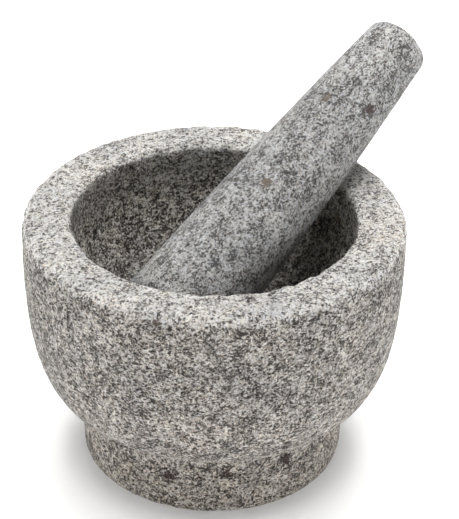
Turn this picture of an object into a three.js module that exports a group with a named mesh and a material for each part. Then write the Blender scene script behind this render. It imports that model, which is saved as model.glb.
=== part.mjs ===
// Granite mortar and pestle: a thick turned bowl on a pedestal foot, with its pestle leaning in it.
// Millimetres, +Z up. The origin is the centre of the flat underside of the foot.
// The pestle leans towards +X, with its grip end out over the rim.

import * as THREE from 'three';

// Mortar, outside
const OUTER_RADIUS = 101.5;        // at the rim, an eight inch bowl
const HEIGHT = 145;                // underside of the foot to the top of the rim
const RIM_OUTER_ROUND = 6;         // rounded outer edge of the rim
const NECK_RADIUS = 70.3;          // crease where the bowl meets the foot
const NECK_HEIGHT = 36.5;
const SIDE_DROP = 72;              // how far the side stays near upright below the rim
const BELLY_RADIUS = 94.5;         // pulls the lower side of the bowl outwards
const BELLY_HEIGHT = 49;
const FOOT_RADIUS = 71;
const FOOT_BOW = 0.5;              // the foot's side is very slightly barrelled
const FOOT_ROUND = 7.5;            // worn lower edge of the foot

// Mortar, inside
const MOUTH_RADIUS = 74.8;
const RIM_INNER_ROUND = 5;
const WALL_DROP = 10;              // the wall drops straight below the rim before it curves in
const CAVITY_DEPTH = 76;           // top of the rim to the bottom of the bowl

// Pestle, measured along its own axis from the grip end
const PESTLE_LENGTH = 222;
const GRIP_RADIUS = 17.6;
const PESTLE_TAPER = 0.079;        // growth of the radius for each millimetre of length
const PESTLE_CURVE = 0.000104;     // how much the growth eases off towards the working end
const GRIP_ROUND = 5;
const GRIP_CROWN = 1.5;            // the grip end is nearly flat
const WORK_ROUND = 10;
const WORK_CROWN = 5;              // the working end is a shallow dome

// How the pestle lies: its low end in the bowl, its shaft on the rim
const LEAN_FROM_UPRIGHT = 65;    // degrees
const LEAN_ASIDE = -15.5;          // the shaft passes this far to one side of the bowl's axis
const LEAN_CROSSING = 20.8;        // where its axis crosses the level of the rim
const LENGTH_ABOVE_RIM = 130.5;    // length of its axis above the level of the rim

const ROUND_STEPS = 6;
const CURVE_STEPS = 16;

const graniteWarm = new THREE.MeshStandardMaterial({ color: 0x9a9690, roughness: 0.75, metalness: 0 });
const graniteCool = new THREE.MeshStandardMaterial({ color: 0x94969a, roughness: 0.6, metalness: 0 });

// Points on a round of the given radius, from one angle to another in degrees.
function round(centreR, centreZ, radius, fromDegrees, toDegrees) {
  return Array.from({ length: ROUND_STEPS + 1 }, (_, i) => {
    const angle = THREE.MathUtils.degToRad(fromDegrees + ((toDegrees - fromDegrees) * i) / ROUND_STEPS);
    return new THREE.Vector2(centreR + radius * Math.cos(angle), centreZ + radius * Math.sin(angle));
  });
}

// A closed solid turned about +Z from a profile that starts and ends on the axis.
function turned(profile, segments) {
  const points = profile.filter((p, i) => i === 0 || p.distanceTo(profile[i - 1]) > 0.05);
  return new THREE.LatheGeometry(points, segments).rotateX(Math.PI / 2);
}

// The foot's underside, worn lower edge and slightly barrelled side, up to the neck.
function footProfile() {
  const side = Array.from({ length: 5 }, (_, i) => {
    const share = (i + 1) / 6;
    const bow = 4 * FOOT_BOW * share * (1 - share);
    const z = THREE.MathUtils.lerp(FOOT_ROUND, NECK_HEIGHT, share);
    return new THREE.Vector2(THREE.MathUtils.lerp(FOOT_RADIUS, NECK_RADIUS, share) + bow, z);
  });
  return [
    new THREE.Vector2(0, 0),
    ...round(FOOT_RADIUS - FOOT_ROUND, FOOT_ROUND, FOOT_ROUND, -90, 0),
    ...side,
  ];
}

// The bowl's belly, from the neck up to the rim's outer edge.
function bellyProfile() {
  const top = HEIGHT - RIM_OUTER_ROUND;
  const curve = new THREE.CubicBezierCurve(
    new THREE.Vector2(NECK_RADIUS, NECK_HEIGHT),
    new THREE.Vector2(BELLY_RADIUS, BELLY_HEIGHT),
    new THREE.Vector2(OUTER_RADIUS, top - SIDE_DROP),
    new THREE.Vector2(OUTER_RADIUS, top),
  );
  return curve.getPoints(CURVE_STEPS);
}

// The hollow: straight down from the rim, then a quarter of an ellipse down to the axis.
function cavityProfile() {
  const drop = RIM_INNER_ROUND + WALL_DROP;
  const depth = CAVITY_DEPTH - drop;
  const bowl = new THREE.EllipseCurve(0, HEIGHT - drop, MOUTH_RADIUS, depth, 0, -Math.PI / 2, true);
  return bowl.getPoints(CURVE_STEPS);
}

function mortar() {
  const profile = [
    ...footProfile(),
    ...bellyProfile(),
    ...round(OUTER_RADIUS - RIM_OUTER_ROUND, HEIGHT - RIM_OUTER_ROUND, RIM_OUTER_ROUND, 0, 90),
    ...round(MOUTH_RADIUS + RIM_INNER_ROUND, HEIGHT - RIM_INNER_ROUND, RIM_INNER_ROUND, 90, 180),
    ...cavityProfile(),
  ];
  profile[profile.length - 1].x = 0;
  const mesh = new THREE.Mesh(turned(profile, 84), graniteWarm);
  mesh.name = 'mortar';
  return mesh;
}

// Radius of the shaft at a distance from the grip end.
function shaftRadius(along) {
  return GRIP_RADIUS + PESTLE_TAPER * along - PESTLE_CURVE * along * along;
}

// A crowned end: a shallow dome that runs into a rounded corner. The end faces +Z at the origin.
function crownedEnd(shaft, corner, crown) {
  const flat = shaft - corner;
  const dome = Array.from({ length: 5 }, (_, i) => {
    const share = i / 5;
    return new THREE.Vector2(flat * share, -crown * share * share);
  });
  return [...dome, ...round(flat, -crown - corner, corner, 90, 0)];
}

// The pestle stands along +Z with its grip end up and its working end at the origin.
function pestle() {
  const work = crownedEnd(shaftRadius(PESTLE_LENGTH - WORK_ROUND), WORK_ROUND, WORK_CROWN);
  const grip = crownedEnd(shaftRadius(GRIP_ROUND), GRIP_ROUND, GRIP_CROWN);
  const low = WORK_CROWN + WORK_ROUND;
  const high = PESTLE_LENGTH - GRIP_CROWN - GRIP_ROUND;
  const shaft = Array.from({ length: CURVE_STEPS - 1 }, (_, i) => {
    const z = THREE.MathUtils.lerp(low, high, (i + 1) / CURVE_STEPS);
    return new THREE.Vector2(shaftRadius(PESTLE_LENGTH - z), z);
  });
  const profile = [
    ...work.map((p) => new THREE.Vector2(p.x, -p.y)),
    ...shaft,
    ...grip.reverse().map((p) => new THREE.Vector2(p.x, PESTLE_LENGTH + p.y)),
  ];
  const mesh = new THREE.Mesh(turned(profile, 56), graniteCool);
  mesh.name = 'pestle';
  mesh.position.z = LENGTH_ABOVE_RIM - PESTLE_LENGTH;
  return mesh;
}

// Leans the pestle over the rim, about the point where its axis crosses the rim's level.
function leaned(mesh) {
  const tilt = new THREE.Group();
  tilt.position.set(LEAN_CROSSING, LEAN_ASIDE, HEIGHT);
  tilt.rotation.y = THREE.MathUtils.degToRad(LEAN_FROM_UPRIGHT);
  tilt.add(mesh);
  return tilt;
}

const part = new THREE.Group();
part.add(mortar());
part.add(leaned(pestle()));

export default part;
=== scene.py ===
"""Granite mortar and pestle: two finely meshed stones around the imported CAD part, with a speckled granite.

Metres, +Z up, in the CAD part's own frame. Each stone is one turned mesh whose vertices are then moved in
along their normals: broad unevenness, turning marks, pecked dimples, pits and chipped edges.
"""
import math

import bpy
import numpy as np
from mathutils import Matrix, Vector


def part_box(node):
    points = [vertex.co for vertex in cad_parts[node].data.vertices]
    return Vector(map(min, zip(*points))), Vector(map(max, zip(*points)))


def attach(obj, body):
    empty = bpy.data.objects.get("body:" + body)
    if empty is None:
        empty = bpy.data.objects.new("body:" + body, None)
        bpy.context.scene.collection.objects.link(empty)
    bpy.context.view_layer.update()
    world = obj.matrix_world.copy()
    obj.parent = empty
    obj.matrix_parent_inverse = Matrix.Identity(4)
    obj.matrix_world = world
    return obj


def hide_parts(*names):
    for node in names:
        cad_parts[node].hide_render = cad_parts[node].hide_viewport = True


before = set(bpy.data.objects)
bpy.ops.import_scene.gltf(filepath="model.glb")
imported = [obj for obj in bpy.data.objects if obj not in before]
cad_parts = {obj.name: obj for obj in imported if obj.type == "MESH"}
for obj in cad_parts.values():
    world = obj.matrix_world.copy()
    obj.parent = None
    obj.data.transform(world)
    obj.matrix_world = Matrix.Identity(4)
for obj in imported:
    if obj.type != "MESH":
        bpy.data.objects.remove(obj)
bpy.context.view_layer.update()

MM = 0.001
_, mortar_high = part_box("mortar")
HEIGHT = mortar_high.z
OUTER_RADIUS = mortar_high.x

# Mortar outline, as in the CAD part but for a crisper inner edge of the rim
RIM_OUTER_ROUND = 6 * MM
RIM_INNER_ROUND = 3.5 * MM
NECK_RADIUS = 70.3 * MM
NECK_HEIGHT = 36.5 * MM
SIDE_DROP = 72 * MM
BELLY_RADIUS = 94.5 * MM
BELLY_HEIGHT = 49 * MM
FOOT_RADIUS = 71 * MM
FOOT_BOW = 0.5 * MM
FOOT_ROUND = 7.5 * MM
MOUTH_RADIUS = 74.8 * MM
WALL_DROP = 10 * MM
CAVITY_DEPTH = 76 * MM
FLOOR_HEIGHT = HEIGHT - CAVITY_DEPTH

# Pestle outline and pose, as in the CAD part
PESTLE_LENGTH = 222 * MM
GRIP_RADIUS = 17.6 * MM
PESTLE_TAPER = 0.079
PESTLE_CURVE = 0.104
GRIP_ROUND = 5 * MM
GRIP_CROWN = 1.5 * MM
WORK_ROUND = 10 * MM
WORK_CROWN = 5 * MM
LEAN_FROM_UPRIGHT = math.radians(65)
LEAN_ASIDE = -15.5 * MM
LEAN_CROSSING = 20.8 * MM
LENGTH_ABOVE_RIM = 130.5 * MM

# How far apart the meshes' rings are on each stretch of the outlines, and the vertices in the widest rings
UNDERSIDE_STEP = 6 * MM
FOOT_ROUND_STEP = 1.4 * MM
FOOT_STEP = 1.5 * MM
BELLY_STEP = 1.35 * MM
RIM_OUTER_STEP = 1.1 * MM
RIM_STEP = 1.25 * MM
RIM_INNER_STEP = 1.0 * MM
BOWL_STEP = 1.7 * MM
SHAFT_STEP = 1.0 * MM
CROWN_STEP = 1.3 * MM
CORNER_STEP = 1.1 * MM
MORTAR_RING = 480
PESTLE_RING = 192

# The innermost ring of the mortar's underside, and of a pestle's end as a share of its dome
INNERMOST = 4 * MM
INNERMOST_SHARE = 0.06

# Points that a curve is worked out at before they are spaced evenly, and the gap under which two are one
FINE = 400
COARSE = 60
SAME_POINT = 0.001 * MM

# Camera
VIEW_TURN = math.radians(-50)
VIEW_ELEVATION = math.radians(30.9)
VIEW_DISTANCE = 1.261
VIEW_LENS = 166.7
VIEW_ROLL = math.radians(0.85)
AIM_ASIDE = 8.2 * MM
AIM_HEIGHT = 117.5 * MM


# ---------------------------------------------------------------- noise for the vertices

def hashed(cells, seed):
    """A repeatable number from 0 to 1 for each whole-numbered cell. The large factors scramble it."""
    c = cells.astype(np.int64)
    n = c[..., 0] * 374761393 + c[..., 1] * 668265263 + c[..., 2] * 2147483647 + seed * 974634777
    n = (n ^ (n >> 13)) * 1274126177
    n = n ^ (n >> 16)
    return (n & 0xFFFFFF) / float(0xFFFFFF)


def noise(points, size, seed):
    """Smooth noise from -1 to 1, whose bumps are about size across."""
    p = points / size
    base = np.floor(p)
    f = p - base
    f = f * f * f * (f * (f * 6 - 15) + 10)
    total = np.zeros(len(p))
    for corner in np.ndindex(2, 2, 2):
        weight = np.ones(len(p))
        for axis, side in enumerate(corner):
            weight *= f[:, axis] if side else 1 - f[:, axis]
        total += weight * hashed(base + np.array(corner), seed)
    return total * 2 - 1


def dimples(points, spacing, radius, share, seed):
    """Rounded pits from 0 to 1 deep, with one in a share of the cells of the given spacing."""
    p = points / spacing
    base = np.floor(p)
    depth = np.zeros(len(p))
    for step in np.ndindex(3, 3, 3):
        cell = base + np.array(step) - 1
        centre = cell + np.stack([hashed(cell, seed + k) for k in range(3)], -1)
        reach = radius / spacing * (0.5 + 0.5 * hashed(cell, seed + 3))
        near = np.clip(1 - ((p - centre) ** 2).sum(-1) / reach ** 2, 0, 1)
        depth = np.maximum(depth, near * (hashed(cell, seed + 4) < share))
    return depth


# ---------------------------------------------------------------- turned meshes

def arc(centre, radius, start, end, step):
    """Points of (radius, height) on an arc, with angles in degrees."""
    count = max(3, round(abs(math.radians(end - start)) * radius / step))
    angles = np.radians(np.linspace(start, end, count + 1))
    return np.stack([centre[0] + radius * np.cos(angles), centre[1] + radius * np.sin(angles)], -1)


def evenly(points, step):
    """The same outline with its points evenly spaced, about step apart."""
    lengths = np.concatenate([[0], np.cumsum(np.hypot(*np.diff(points, axis=0).T))])
    wanted = np.linspace(0, lengths[-1], max(2, round(lengths[-1] / step)) + 1)
    return np.stack([np.interp(wanted, lengths, points[:, k]) for k in range(2)], -1)


def joined(*stretches):
    """One outline from several, without the points where they meet twice."""
    points = np.concatenate(stretches)
    keep = np.concatenate([[True], np.hypot(*np.diff(points, axis=0).T) > SAME_POINT])
    return points[keep]


def bezier(a, b, c, d):
    """Points of a smooth curve from a to d, which leaves a towards b and reaches d from c."""
    t = np.linspace(0, 1, FINE)[:, None]
    a, b, c, d = map(np.array, (a, b, c, d))
    return (1 - t) ** 3 * a + 3 * (1 - t) ** 2 * t * b + 3 * (1 - t) * t ** 2 * c + t ** 3 * d


def mortar_outline():
    """The mortar from the middle of its underside, up outside, over the rim and down into the bowl."""
    top = HEIGHT - RIM_OUTER_ROUND
    share = np.linspace(0, 1, COARSE)
    bow = 4 * FOOT_BOW * share * (1 - share)
    foot_side = np.stack([FOOT_RADIUS + (NECK_RADIUS - FOOT_RADIUS) * share + bow,
                          FOOT_ROUND + (NECK_HEIGHT - FOOT_ROUND) * share], -1)
    belly = bezier((NECK_RADIUS, NECK_HEIGHT), (BELLY_RADIUS, BELLY_HEIGHT),
                   (OUTER_RADIUS, top - SIDE_DROP), (OUTER_RADIUS, top))
    drop = RIM_INNER_ROUND + WALL_DROP
    turn = np.linspace(0, math.pi / 2, FINE)
    bowl = np.stack([MOUTH_RADIUS * np.cos(turn),
                     HEIGHT - drop - (CAVITY_DEPTH - drop) * np.sin(turn)], -1)
    flat_inside, flat_outside = MOUTH_RADIUS + RIM_INNER_ROUND, OUTER_RADIUS - RIM_OUTER_ROUND
    return joined(
        evenly(np.array([(INNERMOST, 0), (FOOT_RADIUS - FOOT_ROUND, 0)]), UNDERSIDE_STEP),
        arc((FOOT_RADIUS - FOOT_ROUND, FOOT_ROUND), FOOT_ROUND, -90, 0, FOOT_ROUND_STEP),
        evenly(foot_side, FOOT_STEP),
        evenly(belly, BELLY_STEP),
        arc((flat_outside, top), RIM_OUTER_ROUND, 0, 90, RIM_OUTER_STEP),
        evenly(np.array([(flat_outside, HEIGHT), (flat_inside, HEIGHT)]), RIM_STEP),
        arc((flat_inside, HEIGHT - RIM_INNER_ROUND), RIM_INNER_ROUND, 90, 180, RIM_INNER_STEP),
        evenly(np.concatenate([[(MOUTH_RADIUS, HEIGHT - RIM_INNER_ROUND)], bowl]), BOWL_STEP)[:-2],
    )


def shaft_radius(along):
    """The pestle's radius at a distance from its grip end."""
    return GRIP_RADIUS + PESTLE_TAPER * along - PESTLE_CURVE * along ** 2


def crowned_end(shaft, corner, crown):
    """A shallow dome that runs into a rounded corner, facing up, from near the axis outwards."""
    flat = shaft - corner
    share = np.linspace(INNERMOST_SHARE, 1, max(4, round(flat / CROWN_STEP)))
    dome = np.stack([flat * share, -crown * share ** 2], -1)
    return joined(dome, arc((flat, -crown - corner), corner, 90, 0, CORNER_STEP))


def pestle_outline():
    """The pestle along its own axis, with the working end at 0 and the grip end at its length."""
    work = crowned_end(shaft_radius(PESTLE_LENGTH - WORK_ROUND), WORK_ROUND, WORK_CROWN)
    grip = crowned_end(shaft_radius(GRIP_ROUND), GRIP_ROUND, GRIP_CROWN)
    z = np.linspace(WORK_CROWN + WORK_ROUND, PESTLE_LENGTH - GRIP_CROWN - GRIP_ROUND, FINE)
    shaft = evenly(np.stack([shaft_radius(PESTLE_LENGTH - z), z], -1), SHAFT_STEP)
    return joined(work * (1, -1), shaft, grip[::-1] + (0, PESTLE_LENGTH))


# A ring has half the vertices of the widest one once its radius is this share of half the widest, and so on
HALVING = 0.72
MOST_HALVINGS = 4


def turned(outline, most):
    """Vertices and faces of an outline turned about +Z. Rings near the axis have half as many vertices, or
    a quarter, and so on, and where a ring meets a coarser one, the faces have five sides or more."""
    widest = outline[:, 0].max()
    halvings = [int(math.log2(max(1, HALVING * widest / radius))) for radius in outline[:, 0]]
    counts = [most // 2 ** min(MOST_HALVINGS, halving) for halving in halvings]
    rings, points = [], []
    for (radius, height), count in zip(outline, counts):
        turn = np.arange(count) * (2 * math.pi / count)
        rings.append(np.arange(count) + len(points))
        points.extend(np.stack([radius * np.cos(turn), radius * np.sin(turn), np.full(count, height)], -1))
    faces = []
    for low, high in zip(rings, rings[1:]):
        fine, coarse, out = (low, high, 1) if len(low) >= len(high) else (high, low, -1)
        ratio = len(fine) // len(coarse)
        for k in range(len(coarse)):
            along = [int(fine[(k * ratio + j) % len(fine)]) for j in range(ratio + 1)]
            back = [int(coarse[(k + 1) % len(coarse)]), int(coarse[k])]
            faces.append((along + back)[::out])
    faces.append([int(i) for i in rings[0][::-1]])
    faces.append([int(i) for i in rings[-1]])
    return np.array(points), faces


def stone(name, points, faces, relief):
    """A mesh object whose vertices are moved in along their normals by relief(points, normals)."""
    mesh = bpy.data.meshes.new(name)
    mesh.from_pydata(points, [], faces)
    normals = np.zeros(len(mesh.vertices) * 3)
    mesh.vertices.foreach_get("normal", normals)
    normals = normals.reshape(-1, 3)
    moved = points - normals * relief(points, normals)[:, None]
    mesh.vertices.foreach_set("co", moved.ravel())
    mesh.shade_smooth()
    mesh.update()
    piece = bpy.data.objects.new(name, mesh)
    bpy.context.scene.collection.objects.link(piece)
    return piece


def edge_wear(distance, reach):
    """1 on an edge, falling to 0 at reach from it."""
    return np.clip(1 - np.abs(distance) / reach, 0, 1)


# Turning marks run around the stone, because their noise hardly changes along X and Y
AROUND_SHRINK = 0.06


def mortar_relief(points, normals):
    """Depths under the mortar's turned surface, so that the pestle's gap stays. Only the crease above the
    foot stands out in places, by a tenth of a millimetre."""
    radius = np.hypot(points[:, 0], points[:, 1])
    height = points[:, 2]
    facing_out = np.hypot(normals[:, 0], normals[:, 1])
    round_about = points * (AROUND_SHRINK, AROUND_SHRINK, 1)
    swells = 0.16 * MM * (1 + noise(points, size=38 * MM, seed=1))
    turning_marks = 0.07 * MM * (1 + noise(round_about, size=3.2 * MM, seed=2)) * facing_out
    lumps = 0.10 * MM * (1 + noise(points, size=7 * MM, seed=3))
    grit = 0.09 * MM * (1 + noise(points, size=3 * MM, seed=4))
    pits = 0.55 * MM * dimples(points, spacing=11 * MM, radius=2.6 * MM, share=0.45, seed=5)
    pecks = 0.35 * MM * dimples(points, spacing=5 * MM, radius=1.7 * MM, share=0.5, seed=15)

    at_rim = height > HEIGHT - 8 * MM
    outer = edge_wear(radius - (OUTER_RADIUS - 1.5 * MM), reach=6 * MM) * at_rim
    inner = edge_wear(radius - (MOUTH_RADIUS + 1.5 * MM), reach=5 * MM) * at_rim
    foot = edge_wear(height - 2 * MM, reach=5 * MM) * (radius > FOOT_RADIUS - FOOT_ROUND)
    big_chips = np.clip(noise(points, size=8 * MM, seed=6) - 0.2, 0, 1)
    small_chips = np.clip(noise(points, size=3.6 * MM, seed=7), 0, 1)
    chipped = 1.5 * MM * (big_chips + 0.8 * small_chips) * (outer + inner + 0.25 * foot)

    neck = edge_wear(height - NECK_HEIGHT, reach=4 * MM) * (radius > NECK_RADIUS - 3 * MM)
    crease = 0.5 * MM * neck * noise(points, size=5 * MM, seed=8)
    return swells + turning_marks + lumps + grit + pits + pecks + chipped + crease


def pestle_relief(points, normals):
    """The pestle is smoother than the mortar: fine dimples, a few pits and slightly worn ends."""
    radius = np.hypot(points[:, 0], points[:, 1])
    from_end = np.minimum(points[:, 2], PESTLE_LENGTH - points[:, 2])
    ends = edge_wear(from_end - 3 * MM, reach=6 * MM) * (radius > 8 * MM)
    swells = 0.12 * MM * (1 + noise(points, size=30 * MM, seed=21))
    lumps = 0.05 * MM * (1 + noise(points, size=6 * MM, seed=22))
    grit = 0.04 * MM * (1 + noise(points, size=2.6 * MM, seed=23))
    pits = 0.35 * MM * dimples(points, spacing=12 * MM, radius=1.7 * MM, share=0.35, seed=24)
    worn = 0.5 * MM * ends * np.clip(noise(points, size=5 * MM, seed=25), 0, 1)
    return swells + lumps + grit + pits + worn


def make_mortar():
    """The mortar, turned and then worn."""
    points, faces = turned(mortar_outline(), MORTAR_RING)
    return stone("mortar_stone", points, faces, mortar_relief)


def make_pestle():
    """The pestle, turned and worn upright, then laid where it leans."""
    points, faces = turned(pestle_outline(), PESTLE_RING)
    piece = stone("pestle_stone", points, faces, pestle_relief)
    pose = (Matrix.Translation((LEAN_CROSSING, LEAN_ASIDE, HEIGHT))
            @ Matrix.Rotation(LEAN_FROM_UPRIGHT, 4, "Y")
            @ Matrix.Translation((0, 0, LENGTH_ABOVE_RIM - PESTLE_LENGTH)))
    piece.data.transform(pose)
    return piece


# ---------------------------------------------------------------- node trees

class Nodes:
    """A new material, and a few short calls for building its node tree."""

    def __init__(self, name):
        self.material = bpy.data.materials.new(name)
        self.material.use_nodes = True
        self.tree = self.material.node_tree
        self.nodes = self.tree.nodes
        self.shader = self.nodes["Principled BSDF"]
        self.place = self.nodes.new("ShaderNodeTexCoord").outputs["Object"]

    def link(self, value, socket):
        """Connects another node's output to a socket, or sets the socket to a plain value."""
        if isinstance(value, bpy.types.NodeSocket):
            self.tree.links.new(value, socket)
        else:
            socket.default_value = value

    def math(self, operation, a, b=0.0, clamp=False):
        """The result of one operation on outputs or plain numbers."""
        node = self.nodes.new("ShaderNodeMath")
        node.operation = operation
        node.use_clamp = clamp
        self.link(a, node.inputs[0])
        self.link(b, node.inputs[1])
        return node.outputs[0]

    def plus(self, total, *values):
        for value in values:
            total = self.math("ADD", total, value)
        return total

    def times(self, a, b):
        return self.math("MULTIPLY", a, b)

    def rest(self, share):
        """What is left of 1 without a share."""
        return self.math("SUBTRACT", 1.0, share)

    def swing(self, value, amount):
        """Noise from 0 to 1 turned into a change of half the amount either way."""
        return self.times(self.math("SUBTRACT", value, 0.5), amount)

    def vector(self, operation, a, b=None):
        """A node of vector mathematics, whose outputs are Vector and Value."""
        node = self.nodes.new("ShaderNodeVectorMath")
        node.operation = operation
        self.link(a, node.inputs[0])
        if b is not None:
            node.inputs[1].default_value = b
        return node

    def split(self, vector):
        """A vector's X, Y and Z."""
        node = self.nodes.new("ShaderNodeSeparateXYZ")
        self.link(vector, node.inputs[0])
        return node.outputs

    def channels(self, colour):
        """A colour's Red, Green and Blue."""
        node = self.nodes.new("ShaderNodeSeparateColor")
        self.link(colour, node.inputs[0])
        return node.outputs

    def noise(self, size, detail=2.0, roughness=0.6, at=None):
        """Noise from about 0 to 1, whose bumps are about size metres across."""
        node = self.nodes.new("ShaderNodeTexNoise")
        self.link(at or self.place, node.inputs["Vector"])
        node.inputs["Scale"].default_value = 1 / size
        node.inputs["Detail"].default_value = detail
        node.inputs["Roughness"].default_value = roughness
        return node.outputs

    def crystals(self, size, at=None):
        """Cells about size metres across. The outputs are the Distance from a cell's centre and its random
        Color."""
        node = self.nodes.new("ShaderNodeTexVoronoi")
        self.link(at or self.place, node.inputs["Vector"])
        node.inputs["Scale"].default_value = 1 / size
        return node.outputs

    def shifted(self, offset, stretch=(1, 1, 1), turn=(0, 0, 0)):
        """The object's own coordinates, moved and turned, with what is drawn in them stretched."""
        node = self.nodes.new("ShaderNodeMapping")
        node.vector_type = "TEXTURE"
        self.link(self.place, node.inputs["Vector"])
        node.inputs["Location"].default_value = offset
        node.inputs["Rotation"].default_value = turn
        node.inputs["Scale"].default_value = stretch
        return node.outputs[0]

    def warped(self, size, amount, stretch=(1, 1, 1)):
        """The object's own coordinates, pushed about by noise, so that cells aren't straight-sided."""
        noise = self.noise(size, detail=3.0, roughness=0.65)["Color"]
        push = self.vector("MULTIPLY_ADD", noise, (amount, amount, amount))
        self.link(self.shifted((0, 0, 0), stretch), push.inputs[2])
        return push.outputs["Vector"]

    def step(self, value, low, high):
        """0 under low, 1 over high, and smooth between."""
        node = self.nodes.new("ShaderNodeMapRange")
        node.interpolation_type = "SMOOTHSTEP"
        self.link(value, node.inputs["Value"])
        self.link(low, node.inputs["From Min"])
        self.link(high, node.inputs["From Max"])
        return node.outputs["Result"]

    def ramp(self, value, *stops):
        """Colours along a value, from stops of a position and a colour."""
        node = self.nodes.new("ShaderNodeValToRGB")
        self.link(value, node.inputs["Fac"])
        elements = node.color_ramp.elements
        while len(elements) < len(stops):
            elements.new(0.5)
        for element, (position, colour) in zip(elements, stops):
            element.position = position
            element.color = (*colour, 1)
        return node.outputs["Color"]

    def mix(self, factor, a, b, blend="MIX"):
        """Colour a, with b blended in by a factor."""
        node = self.nodes.new("ShaderNodeMix")
        node.data_type = "RGBA"
        node.blend_type = blend
        self.link(factor, node.inputs["Factor"])
        for value, socket in ((a, node.inputs[6]), (b, node.inputs[7])):
            self.link(value if isinstance(value, bpy.types.NodeSocket) else (*value, 1), socket)
        return node.outputs[2]

    def tinted(self, colour, tint, share=1.0):
        """A colour multiplied by a tint, all over or by a share."""
        return self.mix(share, colour, tint, "MULTIPLY")

    def bump(self, height, distance, normal=None):
        """A normal tilted by a height, which counts as this distance where it is 1, over another normal."""
        node = self.nodes.new("ShaderNodeBump")
        node.inputs["Strength"].default_value = 1.0
        node.inputs["Distance"].default_value = distance
        self.link(height, node.inputs["Height"])
        if normal is not None:
            self.link(normal, node.inputs["Normal"])
        return node.outputs[0]


# ---------------------------------------------------------------- granite

# How much the slow clusters of crystals darken or lighten the stone
CLOUDY = 0.32

# Greys of each granite, from its darkest crystals to its palest, with the tone that each belongs to
WALL_TONES = ((0.29, 0.045), (0.36, 0.11), (0.42, 0.30), (0.5, 0.39),
              (0.6, 0.50), (0.68, 0.66), (0.78, 0.80))
RIM_TONES = ((0.24, 0.12), (0.33, 0.26), (0.40, 0.51), (0.5, 0.62),
             (0.6, 0.71), (0.68, 0.78), (0.78, 0.83))
PESTLE_TONES = ((0.29, 0.025), (0.36, 0.06), (0.41, 0.185), (0.5, 0.24),
                (0.6, 0.29), (0.69, 0.35), (0.8, 0.43))

# Black mica: the greys of its flecks, how soft their edges are, how much of the stone's colour they hide,
# and the cluster noise that they gather between
MICA_GREYS = (0.01, 0.05)
MICA_EDGE = 0.06
MICA_COVERS = 0.9
GATHERED = (0.46, 0.6)

# The tint of the darkest and of the palest crystals
WALL_WARMTH = ((1.12, 0.98, 0.83), (1.02, 0.995, 0.95))
RIM_WARMTH = ((1.07, 0.99, 0.91), (1.01, 1.0, 0.975))
PESTLE_WARMTH = ((1.05, 1.0, 0.93), (0.98, 1.0, 1.0))

# Painted shade in the bowl, a little browner, on dark, middle and pale crystals, and further painted shade
# down at its bottom
BOWL_PAINTED_SHADE = ((0.36, (0.38, 0.36, 0.335)), (0.5, (0.74, 0.725, 0.70)), (0.68, (0.95, 0.94, 0.92)))
BOTTOM_PAINTED_SHADE = (0.72, 0.72, 0.73)
BOTTOM_SHADE_FROM = HEIGHT - 34 * MM
BOTTOM_SHADE_FULL = HEIGHT - 52 * MM

# What the flecks and the finest grain do to the gloss and to the height of the bumps
MICA_GLOSS = 0.2
UNEVEN_GLOSS = 0.3
MICA_SUNK = 0.2
FINE_HEIGHT = 0.4

# The worn rim starts around this height, on a ragged line: its noise adds about half of WORN_RAGGED
WORN_HEIGHT = HEIGHT - 4.5 * MM
WORN_RAGGED = 16 * MM
WORN_FROM = WORN_HEIGHT + 7.5 * MM
WORN_FULL = WORN_HEIGHT + 9 * MM
WORN_FEWER_FLECKS = 0.3

# Slow changes of tone and warmth, at the slow noise's values
SLOW_TINT = ((0.3, (0.82, 0.825, 0.85)), (0.5, (1, 1, 1)), (0.7, (1.12, 1.10, 1.07)))

# Tint of single crystals, at their random values
CRYSTAL_TINT = ((0.0, (1.05, 1.0, 0.93)), (0.3, (1, 1, 1)), (0.7, (1, 1, 1)), (1.0, (0.97, 0.99, 1.05)))

# Brown at the foot, by share of the mortar's height
GRIME_TINT = ((0.05, (0.95, 0.925, 0.88)), (0.5, (1, 1, 1)))

# The pestle gets paler towards its grip end, between these places along X, by this much: partly its own
# paler stone and partly painted light on the upper end, where the top light falls
GRIP_FROM = 60 * MM
GRIP_FULL = 140 * MM
GRIP_PALER_AND_LIT = 1.2

# The pecking tool's pits: how far apart, which of their cells have one, where in a cell it ends, how much
# lower than wide, how deep, and what they do to the tone: dirt and painted shade darken the pits, the rest
# is a little paler
PECK_SPACING = 2.1 * MM
PECK_CELLS = (0.3, 0.7)
PECK_EDGE = (0.12, 0.5)
PECK_STRETCH = (1, 1, 0.62)
PECK_DEPTH = 0.7 * MM
PECK_DIRT_AND_SHADE = 0.25
UNPECKED_PALER = 0.025

# Small rust spots anywhere on the stones: the size of their cells, which cells have one, where in a cell it
# ends, how much of the stone's colour it hides, and the two colours that it lies between
SPOT_SPACING = 24 * MM
SPOT_CELLS = (0.93, 0.95)
SPOT_EDGE = (0.07, 0.14)
SPOT_COVERS = 0.75
SPOT_DARK = (0.11, 0.05, 0.035)
SPOT_PALE = (0.28, 0.20, 0.14)

# Marks at stated places: how far their outlines are pushed about, how much noise breaks them up, where that
# noise less the distance in radii ends them, how much of the stone's colour they hide, and their colours
MARK_WARP = 7 * MM
MARK_BROKEN = 5.5
MARK_EDGE = (1.35, 1.7)
MARK_COVERS = 0.95
RUST_DARK = (0.028, 0.010, 0.009)
RUST_TAN = (0.12, 0.09, 0.066)
SOOT = (0.035, 0.035, 0.038)

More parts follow.
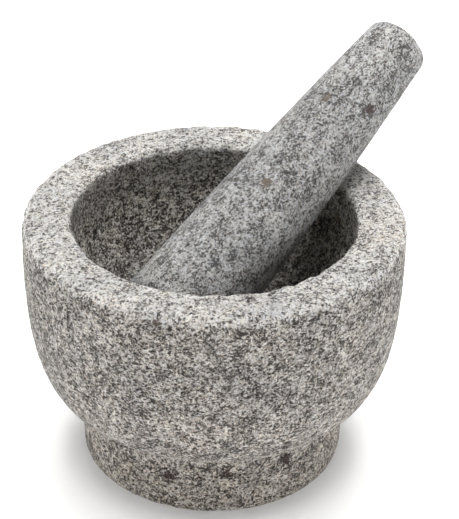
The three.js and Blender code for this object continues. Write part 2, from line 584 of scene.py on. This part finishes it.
# Each mark is a place and a radius, both in millimetres, and a colour
MORTAR_MARKS = (
    ((-66, -26, 25), 3.4, RUST_DARK),
    ((-49, -51, 28), 2.6, RUST_DARK),
    ((-20, -68, 29), 3.2, RUST_DARK),
    ((-93, -41, 141), 1.8, RUST_TAN),
    ((-50, -65, 145), 2.0, RUST_DARK),
)
PESTLE_MARKS = (
    ((13, -24, 168), 2.3, RUST_TAN),
    ((86, -35, 185), 2.6, RUST_DARK),
    ((70, -17, 193), 1.7, RUST_TAN),
    ((-36, -31, 145), 1.9, SOOT),
    ((-27, -35, 146), 1.8, SOOT),
)


def greys(tones, warmth):
    """Ramp stops from pairs of a position and a grey, tinted from the dark warmth to the pale one."""
    stops = []
    for step, (position, grey) in enumerate(tones):
        share = step / (len(tones) - 1)
        stops.append((position, [grey * (a + (b - a) * share) for a, b in zip(*warmth)]))
    return stops


class Speckle:
    """The crystals of one granite: the noise that its colour, gloss and bumps are made from.

    The tone is around 0.5 and picks the grey. mix is how much the mottling, the grit, the single crystals
    and the finest grain count in it. stretch and turn say how the crystals are drawn out."""

    def __init__(self, n, grain, mix, stretch, turn=(0, 0, 0)):
        self.n, self.grain, self.stretch, self.turn = n, grain, stretch, turn
        blotch, gritty, single, dust = mix
        self.cluster = self.layer(9, (0.31, 0.17, 0.05))
        mottle = self.layer(3.2, (0.7, 0.1, 0.3), roughness=0.65)
        grit = self.layer(1.1, (0.05, 0.4, 0.2))
        self.crystal = n.channels(n.crystals(grain, n.warped(1.3 * grain, 0.9 * grain))["Color"])
        self.fine = n.noise(0.5 * grain, at=n.shifted((0.15, 0.7, 0.8)))["Fac"]
        self.tone = n.plus(0.5, n.swing(mottle, blotch), n.swing(self.cluster, -CLOUDY),
                           n.swing(grit, gritty), n.swing(self.crystal["Red"], single),
                           n.swing(self.fine, dust))

    def layer(self, size, offset, roughness=0.6):
        """Noise drawn out as the crystals are, with its size in grains and a place of its own."""
        at = self.n.shifted(offset, self.stretch, self.turn)
        return self.n.noise(size * self.grain, roughness=roughness, at=at)["Fac"]

    def pecked(self):
        """Pits left by the pecking tool, from 0 to 1 deep, which also darken the tone with dirt and painted
        shade.
        """
        n = self.n
        hit = n.crystals(PECK_SPACING, n.warped(2 * MM, 1.6 * MM, PECK_STRETCH))
        chosen = n.step(n.channels(hit["Color"])["Red"], *PECK_CELLS)
        pit = n.times(chosen, n.rest(n.step(hit["Distance"], *PECK_EDGE)))
        # Dirt and painted shade in the pits, and the rest of the stone a little paler
        self.tone = n.math("SUBTRACT", n.plus(self.tone, UNPECKED_PALER), n.times(pit, PECK_DIRT_AND_SHADE))
        return pit

    def colour(self, tones, warmth):
        """The crystals' own colour, by their tone."""
        return self.n.ramp(self.tone, *greys(tones, warmth))

    def flecks(self, size, gather, level):
        """1 on black mica, where its noise is over a level. It gathers where the cluster noise is high."""
        n = self.n
        gathered = n.times(n.step(self.cluster, *GATHERED), gather)
        return n.step(n.plus(self.layer(size, (0.2, 0.6, 0.9)), gathered), level, level + MICA_EDGE)


def with_painted_bowl_shade(n, colour, tone, place):
    """The colour with painted shade on it, inside the mouth and over the floor, and more painted shade far
    down.
    """
    from_axis = n.math("SQRT", n.plus(n.times(place["X"], place["X"]), n.times(place["Y"], place["Y"])))
    outside = n.math("MAXIMUM", n.step(from_axis, MOUTH_RADIUS - 0.5 * MM, MOUTH_RADIUS + 0.5 * MM),
                     n.step(place["Z"], HEIGHT - 3 * MM, HEIGHT - 1 * MM))
    below = n.rest(n.step(place["Z"], FLOOR_HEIGHT - 5 * MM, FLOOR_HEIGHT - 2 * MM))
    inside = n.rest(n.math("MAXIMUM", outside, below))
    # Painted shade, stronger down at the bottom of the bowl
    bottom = n.rest(n.step(place["Z"], BOTTOM_SHADE_FULL, BOTTOM_SHADE_FROM))
    return n.tinted(colour, n.tinted(n.ramp(tone, *BOWL_PAINTED_SHADE), BOTTOM_PAINTED_SHADE, bottom), inside)


def worn_rim(n, grain, place):
    """1 on the rim, 0 under it, with a ragged line between."""
    noise = n.noise(2.6 * grain, detail=3.0, roughness=0.75, at=n.shifted((0.4, 0.9, 0.1)))["Fac"]
    ragged = n.times(noise, WORN_RAGGED)
    return n.step(n.plus(place["Z"], ragged), WORN_FROM, WORN_FULL)


def with_mica(n, colour, flecks, fine, warmth):
    """The colour with black mica on it, in the tint of the darkest crystals."""
    dark, pale = ([grey * tint for tint in warmth[0]] for grey in MICA_GREYS)
    return n.mix(n.times(flecks, MICA_COVERS), colour, n.ramp(fine, (0.35, dark), (0.65, pale)))


def varied(n, colour, crystal, place):
    """The colour with the tint of single crystals, slow changes of tone and warmth, and a browner foot."""
    colour = n.tinted(colour, n.ramp(crystal["Blue"], *CRYSTAL_TINT))
    slow = n.noise(30 * MM, detail=4.0, roughness=0.7, at=n.shifted((0.9, 0.2, 0.6)))["Fac"]
    colour = n.tinted(colour, n.ramp(slow, *SLOW_TINT))
    return n.tinted(colour, n.ramp(n.times(place["Z"], 1 / HEIGHT), *GRIME_TINT))


def with_spots(n, colour):
    """Small rust spots in a few of the cells of a wide spacing."""
    cell = n.crystals(SPOT_SPACING, n.warped(4 * MM, 5 * MM))
    pick = n.channels(cell["Color"])
    spot = n.times(n.step(pick["Red"], *SPOT_CELLS), n.rest(n.step(cell["Distance"], *SPOT_EDGE)))
    return n.mix(n.times(spot, SPOT_COVERS), colour, n.mix(pick["Green"], SPOT_DARK, SPOT_PALE))


def with_marks(n, colour, marks):
    """Marks at stated places, with outlines that are pushed about and broken up by noise."""
    uneven = n.warped(2.4 * MM, MARK_WARP)
    noise = n.noise(1.3 * MM, roughness=0.7, at=n.shifted((0.6, 0.3, 0.7)))["Fac"]
    broken = n.times(noise, MARK_BROKEN)
    for place, radius, mark_colour in marks:
        centre = [value * MM + MARK_WARP / 2 for value in place]
        distance = n.vector("DISTANCE", uneven, centre).outputs["Value"]
        solid = n.plus(broken, n.times(distance, -1 / (radius * MM)))
        colour = n.mix(n.times(n.step(solid, *MARK_EDGE), MARK_COVERS), colour, mark_colour)
    return colour


def finished(n, colour, speckle, flecks, roughness, relief):
    """Sets the colour and the gloss, and returns the normal of the crystals' bumps."""
    n.link(colour, n.shader.inputs["Base Color"])
    rough = n.math("SUBTRACT", roughness, n.times(flecks, MICA_GLOSS))
    rough = n.math("ADD", rough, n.swing(speckle.fine, UNEVEN_GLOSS), clamp=True)
    n.link(rough, n.shader.inputs["Roughness"])
    n.shader.inputs["IOR"].default_value = 1.5
    height = n.plus(speckle.tone, n.times(speckle.fine, FINE_HEIGHT))
    height = n.math("SUBTRACT", height, n.times(flecks, MICA_SUNK))
    return n.bump(height, relief)


def mortar_granite():
    """Warm grey granite with pecks, painted shade in the bowl and a worn, paler rim."""
    n = Nodes("mortar_granite_look")
    place = n.split(n.place)
    speckle = Speckle(n, grain=1.1 * MM, mix=(0.9, 1.2, 0.35, 0.8), stretch=(1, 1, 0.85))
    pit = speckle.pecked()
    # Painted shade in the bowl, darker still towards its bottom
    colour = with_painted_bowl_shade(n, speckle.colour(WALL_TONES, WALL_WARMTH), speckle.tone, place)
    worn = worn_rim(n, speckle.grain, place)
    colour = n.mix(worn, colour, speckle.colour(RIM_TONES, RIM_WARMTH))
    flecks = speckle.flecks(size=1.3, gather=0.12, level=0.655)
    flecks = n.times(flecks, n.rest(n.times(worn, WORN_FEWER_FLECKS)))
    colour = with_mica(n, colour, flecks, speckle.fine, WALL_WARMTH)
    colour = varied(n, colour, speckle.crystal, place)
    colour = with_marks(n, with_spots(n, colour), MORTAR_MARKS)
    normal = finished(n, colour, speckle, flecks, roughness=0.8, relief=1.5 * MM)
    n.link(n.bump(pit, -PECK_DEPTH, normal), n.shader.inputs["Normal"])
    return n.material


def pestle_granite():
    """A cooler and smoother granite, with more mica in its clusters and a grip end painted paler, partly as
    its own paler stone and partly as painted light.
    """
    n = Nodes("pestle_granite_look")
    place = n.split(n.place)
    speckle = Speckle(n, grain=1.0 * MM, mix=(0.75, 1.15, 0.35, 0.8), stretch=(1, 1, 1.2),
                      turn=(0, LEAN_FROM_UPRIGHT, 0))
    flecks = speckle.flecks(size=1.05, gather=0.18, level=0.68)
    colour = speckle.colour(PESTLE_TONES, PESTLE_WARMTH)
    colour = with_mica(n, colour, flecks, speckle.fine, PESTLE_WARMTH)
    colour = varied(n, colour, speckle.crystal, place)
    # A paler grip end: partly its own paler stone, partly painted light
    colour = n.tinted(colour, (GRIP_PALER_AND_LIT,) * 3, n.step(place["X"], GRIP_FROM, GRIP_FULL))
    colour = with_marks(n, with_spots(n, colour), PESTLE_MARKS)
    normal = finished(n, colour, speckle, flecks, roughness=0.7, relief=0.5 * MM)
    n.link(normal, n.shader.inputs["Normal"])
    return n.material


# ---------------------------------------------------------------- floor, light and camera

# The white sheet: its flat radius, the radius of its bend and the height of its edge
SHEET_FLAT = 3.4
SHEET_BEND = 0.5
SHEET_TOP = 1.3
SHEET_RINGS = (0.02, 0.1, 0.3, 1.0, 2.0)
SHEET_BEND_STEP = 0.06
SHEET_RING = 96

# How strongly the sheet glows with painted light, at distances from its middle: dimmed near the foot as a
# painted shadow around it
GLOW_AND_PAINTED_SHADOW = ((0.070, 0.21), (0.084, 0.48), (0.13, 0.36), (0.6, 0.42), (1.8, 0.95))
GLOW_REACH = 2.0

# Soft lights around the camera's view: a place to the right, away and up, a size and a power in watts
LIGHTS = {
    "top": ((0.015, 0.15, 1.38), (0.9, 0.9), 29),
    "front": ((-0.3, -1.9, 0.2), (1.2, 0.36), 3),
    "left": ((-1.5, 0.6, 0.3), (0.8, 0.5), 4),
    "right": ((1.5, 0.6, 0.3), (0.8, 0.5), 4),
}
LIT_PLACE = (0, 0, 0.1)
SKY_STRENGTH = 0.05


def floor_painted_glow():
    """Matt white that glows a little with painted light, dimmed near the middle as a painted shadow around
    the foot, and more away from the middle.
    """
    n = Nodes("floor_painted_glow")
    n.shader.inputs["Base Color"].default_value = (0.9, 0.9, 0.9, 1)
    n.shader.inputs["Roughness"].default_value = 0.9
    n.shader.inputs["Specular IOR Level"].default_value = 0.1
    n.shader.inputs["Emission Color"].default_value = (1, 1, 1, 1)
    share = n.times(n.vector("LENGTH", n.place).outputs["Value"], 1 / GLOW_REACH)
    # Painted glow, dimmed around the foot as a painted shadow
    glow = n.ramp(share, *((radius / GLOW_REACH, (strength,) * 3) for radius, strength in GLOW_AND_PAINTED_SHADOW))
    n.link(glow, n.shader.inputs["Emission Strength"])
    return n.material


def make_floor():
    """A white sheet that runs out flat, curves up and stands as a low backdrop all round."""
    outline = joined(np.array([(radius, 0) for radius in SHEET_RINGS]),
                     arc((SHEET_FLAT, SHEET_BEND), SHEET_BEND, -90, 0, SHEET_BEND_STEP),
                     np.array([(SHEET_FLAT + SHEET_BEND, SHEET_TOP)]))
    points, faces = turned(outline, SHEET_RING)
    mesh = bpy.data.meshes.new("floor")
    mesh.from_pydata(points, [], [face[::-1] for face in faces[:-1]])
    mesh.shade_smooth()
    mesh.materials.append(floor_painted_glow())
    floor = bpy.data.objects.new("floor", mesh)
    bpy.context.scene.collection.objects.link(floor)


def turned_to_view(x, y, z):
    """A place given as right, away and up from the camera's side, in the part's frame."""
    return Matrix.Rotation(VIEW_TURN, 4, "Z") @ Vector((x, y, z))


def area_light(name, place, size, power):
    """A soft rectangular light that faces the object."""
    data = bpy.data.lights.new(name, "AREA")
    data.shape = "RECTANGLE"
    data.size, data.size_y = size
    data.energy = power
    light = bpy.data.objects.new(name, data)
    light.location = turned_to_view(*place)
    light.rotation_euler = (light.location - turned_to_view(*LIT_PLACE)).to_track_quat("Z", "Y").to_euler()
    bpy.context.scene.collection.objects.link(light)


def make_lights():
    """A faint white world and the soft lights."""
    world = bpy.data.worlds.new("studio")
    world.use_nodes = True
    background = world.node_tree.nodes["Background"]
    background.inputs["Color"].default_value = (1, 1, 1, 1)
    background.inputs["Strength"].default_value = SKY_STRENGTH
    bpy.context.scene.world = world
    for name, (place, size, power) in LIGHTS.items():
        area_light(name, place, size, power)


def make_camera():
    """The camera, raised over the rim's height and aimed near the middle of the two stones."""
    data = bpy.data.cameras.new("camera")
    data.lens = VIEW_LENS
    camera = bpy.data.objects.new("camera", data)
    aim = turned_to_view(AIM_ASIDE, 0, AIM_HEIGHT)
    place = turned_to_view(0, -VIEW_DISTANCE * math.cos(VIEW_ELEVATION),
                           HEIGHT + VIEW_DISTANCE * math.sin(VIEW_ELEVATION))
    look = (aim - place).to_track_quat("-Z", "Y").to_matrix().to_4x4()
    camera.matrix_world = Matrix.Translation(place) @ look @ Matrix.Rotation(VIEW_ROLL, 4, "Z")
    bpy.context.scene.collection.objects.link(camera)
    bpy.context.scene.camera = camera
    bpy.context.scene.view_settings.view_transform = "Standard"


# ---------------------------------------------------------------- the object

def place_stone(piece, node, material):
    """Gives a stone its material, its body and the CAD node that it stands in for."""
    piece.data.materials.append(material)
    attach(piece, node)
    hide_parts(node)


make_camera()
make_lights()
make_floor()
place_stone(make_mortar(), "mortar", mortar_granite())
place_stone(make_pestle(), "pestle", pestle_granite())
